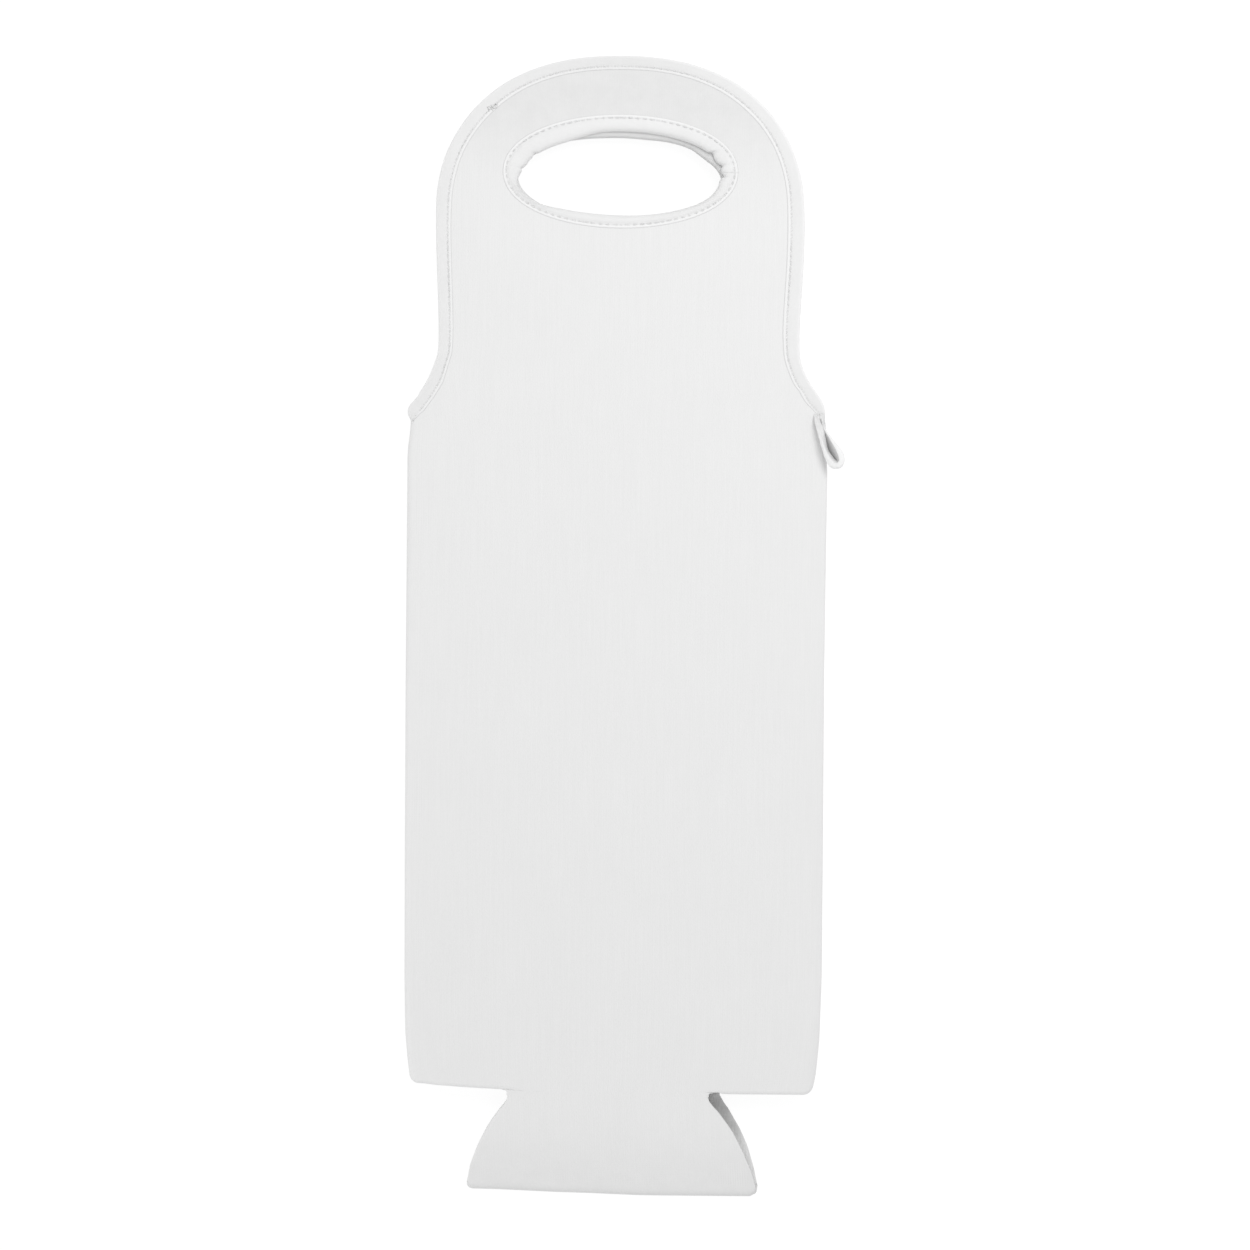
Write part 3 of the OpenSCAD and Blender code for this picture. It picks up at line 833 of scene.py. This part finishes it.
def tape_section(lip, roll, shape=FLAT_ROLL, under=FLAT_ROLL, raised=0.0):
    """Cross-section of a folded binding tape: distance from its folded edge, and height. From its
    sewn lip it runs over the stitch line and the roll, round the fold and back underneath."""
    top, middle = TOP_Z, SHEET_MIDDLE_Z
    flat = [(TAPE_WIDTH - d, top + up)
            for d, up in ((0, -0.12), (0.06, 0.03), (0.25, lip * 0.4), (0.42, lip * 0.8),
                          (0.6, lip), (0.8, lip * 0.95))]
    flat += [(SEWN_IN + d, top + lip * k)
             for d, k in ((0.4, 0.75), (0.15, 0.55), (-0.15, 0.55), (-0.4, 0.75))]
    flat += [(SEWN_IN - 0.9, top + roll * 0.88), (SEWN_IN - 1.35, top + roll)]
    outer = flat + [(d, top + roll * k) for d, k in shape] + [(0.0, middle)]
    lower = [(d, 2 * middle - top - roll * k) for d, k in under[::-1]]
    lower += [(d, 2 * middle - z) for d, z in flat[::-1]]
    lower = [(d, z + raised * (d < 3.4)) for d, z in lower]
    core = [(TAPE_WIDTH - 0.4, INNER_Z + 0.25), (3.2, INNER_Z + 0.6), (2.2, middle),
            (3.2, top - 0.6), (TAPE_WIDTH - 0.4, top - 0.25)]
    return np.array(outer + lower + core), len(outer) + len(lower)


def closed_up(run, closed):
    return np.vstack([run, run[:1]]) if closed else run


# The tapes swell and thin a little along their length: how far across they do, and for each of two
# ripples its height, its length and its place in the noise
EDGE_RIPPLES = (EDGE_TAPE, (0.10, 9.0, 4.2, 1.7), (0.04, 2.3, 8.2, 3.1))
HOLE_RIPPLES = (HOLE_TAPE, (0.16, 6.0, 1.2, 9.7), (0.06, 1.7, 5.2, 2.1))


def swell(s, d, width, *ripples):
    along = sum(height * np.array([noise.noise(Vector((v / length, *at))) for v in s])
                for height, length, *at in ripples)
    return along * math.sin(min(max((width - d) / width, 0), 1) * math.pi)


def sweep_binding(name, offset_run, section, shown, side, hand, closed, ripples, material,
                  bulge=None):
    """Runs a cross-section along an edge. offset_run(d) gives the edge moved by d, with the same
    number of points for every d. shown is how many of the section's points are tape."""
    sewn = offset_run(SEWN_IN)
    n = len(sewn)
    count = int(arc_lengths(closed_up(sewn, closed))[-1] / STITCH)
    s = np.arange(n) / (n if closed else n - 1) * count * STITCH
    points, uvs = [], []
    around = arc_lengths(section)
    line = np.interp(-SEWN_IN, -section[:shown // 2, 0], around[:shown // 2])
    around = np.minimum(around, around[shown - 1] - around) - line + SEWN_AT
    around[shown:] = CORE_V
    stitch_phase = np.abs(((s / STITCH) % 1.0) - 0.5) * 2
    for k, (d, z) in enumerate(section):
        run = offset_run(d)
        dip = -PULLED_IN * math.exp(-((d - SEWN_IN) / 0.35) ** 2) * stitch_phase ** 8
        roll = swell(s, d, *ripples) * (1 if abs(z - SHEET_MIDDLE_Z) > 1.0 else 0.3)
        zz = z + (1.0 if z > SHEET_MIDDLE_Z else -1.0) * (dip + roll)
        if bulge is not None:
            run = run + bulge(run, d)
        points.append(place(hand * run[:, 0], run[:, 1], zz, side))
        uvs.append(np.stack([s, np.full(n, around[k])], 1))
    faces = tube_faces(len(section), n, closed)
    groups = [0] * len(faces)
    if not closed:
        groups[-2:] = [1, 1]
    return make(name, points, faces, [material], uvs, None, groups)


# The foot of the handle's tape over each of the pouch's corners: its fold and its sewn edge
FOOT_FOLD = {
    "left": [
        (72.5, 116.8), (73.3, 118.3), (73.85, 120.0), (73.85, 121.6), (73.3, 122.9),
        (72.1, 124.4), (70.75, 126.1), (69.4, 128.1)],
    "right": [
        (73.0, 117.4), (73.7, 118.9), (74.0, 120.6), (73.8, 122.3), (73.2, 123.8),
        (72.2, 125.2), (70.9, 126.6), (69.4, 128.1)]}
FOOT_SEWN = {
    "left": [
        (72.2, 117.2), (71.3, 118.1), (69.9, 119.2), (68.1, 120.8), (66.7, 122.7),
        (65.4, 124.7), (64.0, 126.8), (62.4, 129.0)],
    "right": [
        (71.5, 118.0), (71.3, 119.4), (70.6, 121.0), (69.1, 122.6), (67.5, 123.9),
        (65.9, 125.2), (64.3, 126.8), (62.5, 129.0)]}
FOOT_ENDS_Y = 130.6
# How many points run along each tape
EDGE_STEPS = 430
HOLE_STEPS = 470
# The tape wasn't sewn on evenly: its width at heights, as a share
WIDTH_Y = (131, 138, 150, 185, 205, 228, 242)
WIDTH_SHARE = {"left": (1.0, 0.94, 0.98, 1.0, 1.07, 1.07, 0.96),
               "right": (1.0, 1.04, 1.14, 1.15, 1.12, 1.08, 0.96)}


def uneven_edge(d, word):
    """The handle's edge moved inwards by d times the tape's share of width at each height."""
    run, further = handle_edge(d), handle_edge(d * 1.1)
    share = np.interp(run[:, 1], WIDTH_Y, WIDTH_SHARE[word])
    return run + (further - run) * ((share - 1) / 0.1)[:, None]


def dense_edge(d, word):
    """The handle's edge at even steps, the same count for every inset. Its tape narrows to a tip
    over the pouch's corner."""
    run = uneven_edge(d, word)
    run = run[int(np.argmax(run[:, 1] > FOOT_ENDS_Y)):]
    f = d / TAPE_WIDTH
    foot = np.array(FOOT_FOLD[word]) * (1 - f) + np.array(FOOT_SEWN[word]) * f
    foot = smooth_path(np.concatenate([foot, run[:2]]), 6)[:-7]
    run = np.concatenate([foot, run])
    s = arc_lengths(run)
    out = points_at(run, s, np.linspace(0, 1, EDGE_STEPS) * s[-1])
    out[-1, 0] = 0
    return out


def dense_hole(d):
    return hole_edge(d, HOLE_STEPS)[::-1]


# How far each hand hole's roll reaches into the opening, by the angle round the hole
ROLL_ANGLE = (
    -180, -176, -172, -168, -164, -156, -140, -132, -124, -108, -92, -76, -60, -44, -36, -28, -20,
    -12, -4, 4, 100, 108, 116, 124, 148, 164, 172, 180)
ROLL_IN = (
    1.5, 0.9, 0.1, -1.1, -1.9, -2.0, -2.0, -1.5, -0.9, -0.5, -0.5, -0.8, -1.0, -1.2, -1.2, -0.9,
    -0.3, 0.2, 0.4, 0.6, 0.6, 1.1, 1.8, 2.2, 2.25, 2.2, 2.0, 1.5)
BACK_ANGLE = (-60, -28, -20, -12, 12, 20, 28, 36, 44, 52, 60, 68, 76, 100, 120, 140)
BACK_IN = (
    0, -0.6, -1.2, -1.9, -1.8, -1.6, -1.2, -1.2, -1.6, -1.4, -1.1, -0.7, -0.3, -0.1, -0.4, 0)
# Wrinkles of the front roll: angle, width and depth
WRINKLES = (
    (150, 2.6, -0.7), (27, 2.8, -0.9), (18, 4.0, 0.4), (9, 2.4, -0.8), (2, 3.0, 0.35),
    (-5, 2.8, -0.8), (-13, 4.0, 0.3), (176, 3.0, -0.4), (166, 3.5, 0.25))
ROLLS = {"front": (ROLL_ANGLE, ROLL_IN, WRINKLES), "back": (BACK_ANGLE, BACK_IN, ())}
# How far from its fold the tape takes part in this
ROLL_REACH = 3.6


def roll_in(run, d, angles, amounts, wrinkles):
    """How far the roll's points move into the opening."""
    a = np.degrees(np.arctan2((run[:, 1] - HOLE_Y) / HOLE_B, run[:, 0] / HOLE_A))
    amount = np.interp(a, angles, amounts)
    for middle, width, depth in wrinkles:
        amount = amount + depth * np.exp(-((a - middle) / width) ** 2)
    inward = -np.stack([np.cos(np.radians(a)) * HOLE_B, np.sin(np.radians(a)) * HOLE_A], 1)
    inward /= np.linalg.norm(inward, axis=1)[:, None]
    return inward * (amount * smooth((ROLL_REACH - d) / ROLL_REACH))[:, None]


# The stitches' thread, the share of each that shows, and how much it bows
THREAD_WIDTH = 0.5
STITCH_SHARE = 0.74
STITCH_BOW = 0.126


def stitch_dashes(name, run, side, hand, z, closed, first_at=0.0):
    """A row of lock stitches: each is a short bowed thread that dips into the tape at its ends."""
    whole = closed_up(run, closed)
    s = arc_lengths(whole)
    count = int(s[-1] / STITCH)
    points, faces, uvs = [], [], []
    rings = 6
    bow = np.sin(np.linspace(0, math.pi, rings))
    size = THREAD_WIDTH / 2 * (0.45 + 0.55 * bow)
    for k in range(int(first_at / STITCH), count):
        mid = (k + 0.5) * s[-1] / count
        half = STITCH_SHARE * s[-1] / count / 2
        at = mid + np.linspace(-half, half, rings)
        cx, cy = points_at(whole, s, at).T
        tx, ty = np.gradient(cx), np.gradient(cy)
        norm = np.hypot(tx, ty)
        nx, ny = -ty / norm, tx / norm
        faces += thread_faces(len(points), rings)
        for r in range(rings):
            for q, a in enumerate(ROUND):
                off = math.cos(a) * size[r]
                up = STITCH_BOW * bow[r] + math.sin(a) * size[r] * 0.45
                points.append((cx[r] + nx[r] * off, cy[r] + ny[r] * off, z - 0.12 + up))
                uvs.append((at[r], q * THREAD_WIDTH))
    x, y, z = np.array(points).T
    return make(name, place(hand * x, y, z, side), faces, [THREAD], uvs)


# The loop and the seams

def band(top, low, thick):
    """A band of tape on its edge. Its two edges and its thickness are given by as many points."""
    n = 96
    rails = []
    for edge in (low, top):
        run = smooth_path(edge, 8)
        # even steps in the given points, so that the two edges keep together
        rails.append(points_at(run, np.arange(len(run)), np.linspace(0, len(run) - 1, n)))
    length = arc_lengths(rails[1])
    half = np.interp(np.linspace(0, 1, n), np.linspace(0, 1, len(thick)), thick) / 2
    along = np.gradient((rails[0] + rails[1]) / 2, axis=0)
    up = rails[1] - rails[0]
    out = np.cross(along, up)
    out /= np.linalg.norm(out, axis=1)[:, None]
    # the band's outer face comes first, then the top edge and the inner face
    section = [(1, 0.02), (1, 0.2), (1, 0.4), (1, 0.6), (1, 0.8), (0.95, 0.93), (0.55, 1.0),
               (-0.55, 1.0), (-0.95, 0.93), (-1, 0.8), (-1, 0.6), (-1, 0.4), (-1, 0.2), (-1, 0.02),
               (-0.55, 0.0), (0.55, 0.0)]
    rows, uvs = [], []
    for d, t in section:
        rows.append(rails[0] * (1 - t) + rails[1] * t + out * (half * d)[:, None])
        uvs.append(np.stack([length, np.full(n, t * 6 + d)], 1))
    m = len(section)
    # for each face, its place in the section and how far along the band it lies
    where = [(k, i / (n - 1)) for k in range(m) for i in range(n - 1)] + [(0, 0), (0, 1)]
    return np.concatenate(rows), tube_faces(m, n), uvs, where


def hanging_loop():
    top = [
        (70.4, 121.3, 11.1), (70.11, 120.26, 12.0), (70.35, 117.53, 13.3), (71.3, 114.11, 14.4),
        (72.32, 110.9, 15.1), (73.31, 108.06, 15.4), (74.46, 105.31, 15.6), (76.28, 102.56, 15.7),
        (78.61, 102.51, 15.7), (79.94, 104.47, 15.6), (79.26, 107.31, 15.3), (77.69, 109.91, 14.6),
        (75.9, 112.4, 13.9), (74.15, 115.1, 13.2), (72.55, 118.8, 12.5), (72.0, 121.2, 11.1)]
    low = [
        (71.6, 121.0, 10.6), (71.59, 119.98, 11.3), (72.37, 117.3, 12.3), (73.35, 114.65, 12.7),
        (74.09, 111.83, 11.8), (74.79, 108.78, 10.4), (76.01, 106.53, 10.0), (77.66, 104.77, 10.0),
        (78.8, 104.21, 10.0), (78.3, 104.99, 10.0), (76.51, 106.81, 10.2), (75.28, 108.86, 10.8),
        (74.54, 111.65, 11.9), (73.95, 114.47, 12.7), (73.72, 118.21, 12.2), (73.64, 121.0, 10.9)]
    thick = (1.0, 1.0, 1.0, 1.05, 1.1, 1.25, 1.8, 2.3, 2.4, 2.4, 2.3, 1.8, 1.15, 1.0, 1.0, 1.0)
    p, faces, uvs, where = band(top, low, thick)
    # the tape's top edge is painted lighter as a highlight, and the inner side of the bend and the
    # right leg, which form the eye, is painted dark as shade
    kinds = [2 if 5 <= k <= 7 else 1 if 8 <= k <= 12 and 0.505 < share < 0.85 else 0
             for k, share in where]
    groups = [1 if k == 1 else 0 for k in kinds]
    return make("loop", in_scene(*p.T), faces, [LOOP_TAPE, LOOP_SHADED_INSIDE, LOOP_EDGE_HIGHLIGHT], uvs, kinds,
                groups)


# Where the loop is sewn on, and the threads' radii
ROOT = (71.4, 118.3)
TACK_R = 0.17
KNOT_R = 0.13
SEAM_THREAD_R = 0.2


def bar_tack():
    """A dense little bar of thread across the loop's root."""
    points, faces, uvs = [], [], []
    for k in range(5):
        y = ROOT[1] + 2.0 - k * 0.27
        faces += thread_faces(len(points), 5)
        for t in np.linspace(0, 1, 5):
            x = ROOT[0] - 0.5 + 2.6 * t
            z = TOP_Z + 1.15 - 0.55 * t + 0.1 * math.sin(math.pi * t)
            for q, a in enumerate(ROUND):
                points.append((x, y + TACK_R * math.cos(a), z + TACK_R * math.sin(a)))
                uvs.append((x, q * 0.2))
    return make("tack", in_scene(*np.array(points).T), faces, [THREAD], uvs)


def thread_knot():
    """A tangle of thread ends on the stitch line at the upper left of the arch."""
    points, uvs = [], []
    for t in np.linspace(0, 1, 90):
        x = -48.2 + 4.0 * t + 0.6 * np.sin(t * 19) + 0.2 * np.sin(t * 43)
        y = 227.9 + 1.6 * t + 0.7 * np.cos(t * 23) + 0.15 * np.cos(t * 37)
        z = TOP_Z + 0.3 + 0.08 * np.sin(t * 31) - 0.5 * np.abs(2 * t - 1) ** 8
        for q, a in enumerate(ROUND):
            points.append((x, y + KNOT_R * math.cos(a), z + KNOT_R * math.sin(a)))
            uvs.append((t * 20, q * 0.2))
    x, y, z = np.array(points).T
    return make("thread_knot", place(x, y, z, "front"), thread_faces(0, 90), [DARK_THREAD], uvs)


def seam_stitches(name, hand):
    """Short threads that cross the groove of a side seam."""
    points, faces, uvs = [], [], []
    rings = 5
    for y in np.arange(FLOOR_Y + 4.5, MOUTH - 1.5, 3.1):
        faces += thread_faces(len(points), rings)
        for r, t in enumerate(np.linspace(0, 1, rings)):
            x = SEAM_X - 0.42 + 0.3 * math.sin(math.pi * t)
            for q, a in enumerate(ROUND):
                points.append((hand * (x + SEAM_THREAD_R * math.cos(a)),
                               y + 0.55 * (t - 0.5) + SEAM_THREAD_R * math.sin(a),
                               MID_Z - 0.55 + 1.1 * t))
                uvs.append((r * 0.3, q * 0.2))
    x, y, z = np.array(points).T
    return make(name, place(x - shoulder(x, y), y, z, "front", 0), faces, [THREAD], uvs)


EDGE_SECTION = tape_section(0.22, 0.34)
HOLE_SECTIONS = {"front": tape_section(0.24, 0.6, ROUND_ROLL, SQUARE_ROLL, 0.6),
                 "back": tape_section(0.24, 0.45)}
HOLE_LOOKS = {"front": HOLE_TAPE_LOOK, "back": SHADED_BACK_HOLE_TAPE}
# How high the stitches lie on the edge's and the hole's tape, and where the edge's first one is
EDGE_STITCH_UP = 0.16
HOLE_STITCH_UP = 0.18
FIRST_STITCH = 5.0


# Assembly

def layers(part):
    return [f"{part}_{kind}" for kind in ("knit", "foam", "lining")]


for side in ("front", "back"):
    centre = f"{side}_centre"
    for word, hand in (("left", -1), ("right", 1)):
        strip = f"{side}_{word}"

        pouch = pouch_half(f"{side}_pouch_{word}", side, hand)
        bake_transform(pouch)
        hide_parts(*layers(f"{side}_panel"), *layers(strip))

        handle = handle_half(f"{side}_handle_{word}", side, hand)
        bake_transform(handle)
        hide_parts(*layers(f"{side}_panel"))

        edge = sweep_binding(f"{side}_binding_{word}", lambda d: dense_edge(d, word),
                             *EDGE_SECTION, side, hand, False, EDGE_RIPPLES, TAPE)
        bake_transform(edge)
        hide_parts(f"{side}_edge_binding")

        row = stitch_dashes(f"{side}_edge_row_{word}", dense_edge(SEWN_IN, word), side, hand,
                            TOP_Z + EDGE_STITCH_UP, False, FIRST_STITCH)
        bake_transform(row)
        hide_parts(f"{side}_edge_stitches")

    hole = sweep_binding(f"{side}_hole_binding_piece", dense_hole, *HOLE_SECTIONS[side], side, 1,
                         True, HOLE_RIPPLES, HOLE_LOOKS[side],
                         lambda run, d: roll_in(run, d, *ROLLS[side]))
    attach(hole, centre)
    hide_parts(f"{side}_hole_binding")
    ring = stitch_dashes(f"{side}_hole_row", dense_hole(SEWN_IN), side, 1,
                         TOP_Z + HOLE_STITCH_UP, True)
    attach(ring, centre)
    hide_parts(f"{side}_hole_stitches")

    base = base_half(f"{side}_base", side)
    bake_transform(base)
    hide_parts(*layers(f"base_{side}"))

for piece, body, node, look in (
        (thread_knot(), "front_centre", "front_edge_stitches", "thread"),
        (hanging_loop(), "hang_loop", "hang_loop", "loop_tape"),
        (bar_tack(), "front_right", "loop_bar_tack", "thread"),
        (seam_stitches("left_seam_row", -1), "back_left", "left_seam_thread", "thread"),
        (seam_stitches("right_seam_row", 1), "front_right", "right_seam_thread", "thread")):
    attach(piece, body)
    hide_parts(node)


# Camera, floor and light

# The photograph's width in pixels, a pixel in millimetres, and the pixels across to the middle
# between the seams and down to the pouch's lower edge
PHOTO = 1250
PIXEL = 0.3546
SEAMS_MIDDLE = 614.7
LOWER_EDGE = 1092
CENTRE = ((PHOTO / 2 - SEAMS_MIDDLE) * PIXEL, (LOWER_EDGE - PHOTO / 2) * PIXEL + FLOOR_Y)
DISTANCE = 1200.0
ROLL = math.radians(0.5)
SENSOR = 36

camera = add_object("camera", bpy.data.cameras.new("camera"))
camera.data.sensor_width = SENSOR
camera.data.lens = SENSOR * DISTANCE / (PHOTO * PIXEL * GROW)
camera.location = in_scene(*CENTRE, DISTANCE + TOP_Z)
camera.rotation_euler = (0, 0, ROLL)
camera.data.clip_start = 0.01
camera.data.clip_end = 20
bpy.context.scene.camera = camera

# The floor has one tone for the object's light. The camera and gloss see a darker tone and a glow,
# which together are white where no shadow falls
FLOOR_HALF = 3.0
FLOOR_Z = -0.0004
FLOOR_TONE = 0.9
SHADOWED_TONE = 0.13
GLOW = 0.92
WHITE = grey(1.0)
AMBIENT = 0.68

floor_mesh = bpy.data.meshes.new("floor")
floor_mesh.from_pydata([(x * FLOOR_HALF, y * FLOOR_HALF, FLOOR_Z)
                        for x, y in ((-1, -1), (1, -1), (1, 1), (-1, 1))], [], [(0, 1, 2, 3)])
floor = add_object("floor", floor_mesh)
floor_look = bpy.data.materials.new("floor")
t = empty_tree(floor_look)
plain = add_node(t, "BsdfDiffuse", grey(FLOOR_TONE))[0]
shaded = add_node(t, "BsdfDiffuse", grey(SHADOWED_TONE))[0]
glowing = add_node(t, "AddShader", shaded, add_node(t, "Emission", WHITE, GLOW)[0])[0]
rays = add_node(t, "LightPath")
seen = math_node(t, "MAXIMUM", rays["Is Camera Ray"],
                 math_node(t, "MAXIMUM", rays["Is Glossy Ray"], rays["Is Transmission Ray"]))
add_node(t, "OutputMaterial", add_node(t, "MixShader", seen, plain, glowing)[0])
floor_mesh.materials.append(floor_look)

world = bpy.data.worlds.new("studio")
bpy.context.scene.world = world
t = empty_tree(world)
ambient = add_node(t, "Background", WHITE, AMBIENT)[0]
white = add_node(t, "Background", WHITE, 1.0)[0]
seen = add_node(t, "LightPath")["Is Camera Ray"]
add_node(t, "OutputWorld", add_node(t, "MixShader", seen, ambient, white)[0])

LIT_POINT = Vector((0, 0.05, 0))
for name, where, size, power in (("key", (0.32, 0.52, 0.85), 0.55, 3.9),
                                 ("fill", (-0.78, -0.5, 0.12), 0.5, 2.0)):
    lamp = add_object(name, bpy.data.lights.new(name, "AREA"))
    lamp.data.shape = "DISK"
    lamp.data.size = size
    lamp.data.energy = power
    lamp.location = where
    lamp.rotation_euler = (LIT_POINT - Vector(where)).to_track_quat("-Z", "Y").to_euler()

bpy.context.scene.view_settings.view_transform = "Standard"

bpy.context.view_layer.update()
